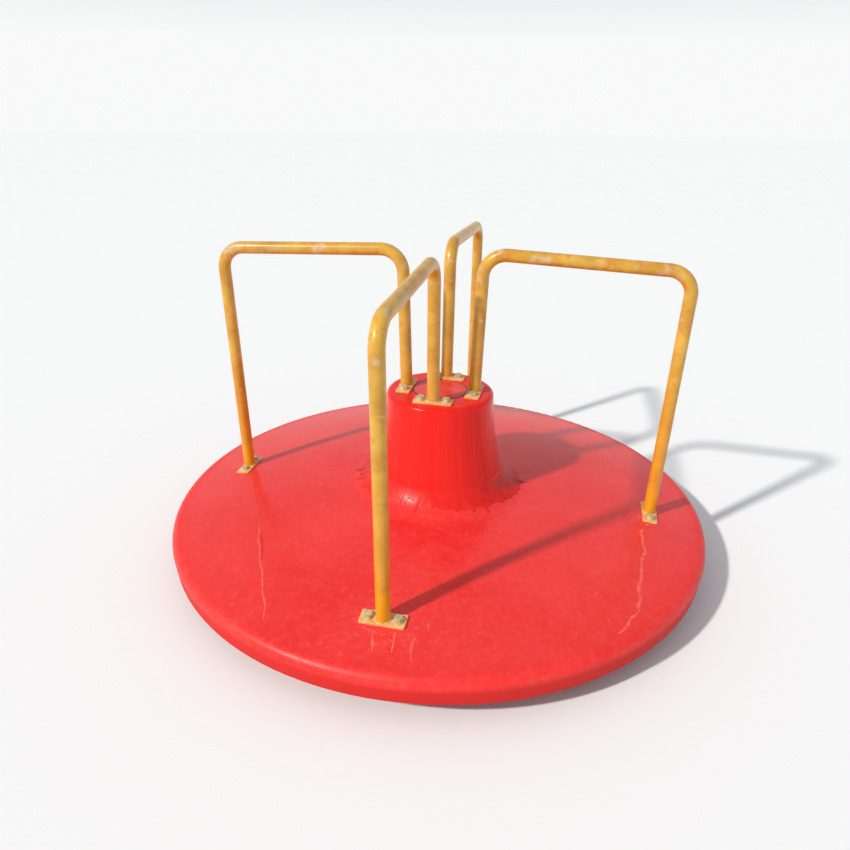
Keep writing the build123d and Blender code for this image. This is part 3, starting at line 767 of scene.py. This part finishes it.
# ---- Studio: a wide pale floor that meets an equally pale backdrop, under a soft sun ----
FLOOR_RINGS = (1.5, 4.0, 10.0, 45.0)
FLOOR_STEPS = 96
HORIZON_BAND = (0.08, 0.34)
AIM = Vector((0, 0, 0.35))
SUN_DISTANCE = 8.0
SUN_AZIMUTH = 228.0
SUN_ELEVATION = 37.0
SUN_ENERGY = 2.9
SUN_COLOUR = (1.0, 0.975, 0.93)
SUN_WIDTH = math.radians(3.0)


def build_floor():
    """A disc wide enough for its edge to lie on the horizon."""
    vertices = [(0.0, 0.0, 0.0)]
    for radius in FLOOR_RINGS:
        vertices += [tuple(plain(step / FLOOR_STEPS * 360) * radius) for step in range(FLOOR_STEPS)]
    faces = [(0, 1 + step, 1 + (step + 1) % FLOOR_STEPS) for step in range(FLOOR_STEPS)]
    rings = ring_faces(len(FLOOR_RINGS), FLOOR_STEPS, False, True)
    faces += [tuple(1 + corner for corner in reversed(face)) for face in rings]
    mesh = bpy.data.meshes.new("floor")
    mesh.from_pydata(vertices, [], faces)
    mesh.update()
    floor = bpy.data.objects.new("floor", mesh)
    bpy.context.scene.collection.objects.link(floor)
    pale = Finish("pale_floor", Base_Color=FLOOR_PALE, Roughness=0.95, Specular_IOR_Level=0.1)
    mesh.materials.append(pale.material)


def build_backdrop():
    """World light: as bright as the floor at the horizon, and about half that overhead."""
    world = bpy.data.worlds.new("studio")
    bpy.context.scene.world = world
    world.use_nodes = True
    tree = world.node_tree
    place = tree.nodes.new("ShaderNodeTexCoord").outputs["Generated"]
    parts = tree.nodes.new("ShaderNodeSeparateXYZ")
    ramp = tree.nodes.new("ShaderNodeMapRange")
    blend = tree.nodes.new("ShaderNodeMix")
    blend.data_type = "RGBA"
    ramp.inputs["From Min"].default_value, ramp.inputs["From Max"].default_value = HORIZON_BAND
    blend.inputs[MIX_FIRST].default_value = HORIZON_PALE
    blend.inputs[MIX_SECOND].default_value = OVERHEAD_GREY
    tree.links.new(place, parts.inputs[0])
    tree.links.new(parts.outputs["Z"], ramp.inputs["Value"])
    tree.links.new(ramp.outputs[0], blend.inputs[MIX_AMOUNT])
    tree.links.new(blend.outputs[MIX_RESULT], tree.nodes["Background"].inputs["Color"])


def build_sun():
    """The one lamp, a soft sun from the front left."""
    sun = bpy.data.lights.new("key", "SUN")
    sun.energy = SUN_ENERGY
    sun.color = SUN_COLOUR
    sun.angle = SUN_WIDTH
    sun_object = bpy.data.objects.new("key", sun)
    bpy.context.scene.collection.objects.link(sun_object)
    out = direction(SUN_AZIMUTH, SUN_ELEVATION)
    sun_object.location = AIM + out * SUN_DISTANCE
    sun_object.rotation_euler = out.to_track_quat("Z", "Y").to_euler()


build_floor()
build_backdrop()
build_sun()
bpy.context.scene.view_settings.view_transform = "Standard"

# ---- Camera: it looks a little above and to one side of straight at the rim's centre, slightly rolled ----
CAMERA_AZIMUTH = -79.08
CAMERA_ELEVATION = 30.0
CAMERA_DISTANCE = 2.757 * deck_radius
LOOK_RIGHT = math.radians(-1.20)
LOOK_UP = math.radians(5.71)
ROLL = math.radians(0.69)
LENS = 29.34
SENSOR_WIDTH = 36.0
RIM_CENTRE = Vector((0, 0, 0.120))

outward = direction(CAMERA_AZIMUTH, CAMERA_ELEVATION)
level_right = plain(CAMERA_AZIMUTH + 90)
above = outward.cross(level_right)
forward = (-outward + level_right * LOOK_RIGHT + above * LOOK_UP).normalized()
right = forward.cross(Vector((0, 0, 1))).normalized()
up = right.cross(forward)
turned_right = right * math.cos(ROLL) + up * math.sin(ROLL)
turned_up = up * math.cos(ROLL) - right * math.sin(ROLL)
camera_data = bpy.data.cameras.new("camera")
camera_data.lens = LENS
camera_data.sensor_width = SENSOR_WIDTH
camera = bpy.data.objects.new("camera", camera_data)
bpy.context.scene.collection.objects.link(camera)
stance = Matrix((turned_right, turned_up, -forward)).transposed().to_4x4()
camera.matrix_world = Matrix.Translation(RIM_CENTRE + outward * CAMERA_DISTANCE) @ stance
bpy.context.scene.camera = camera
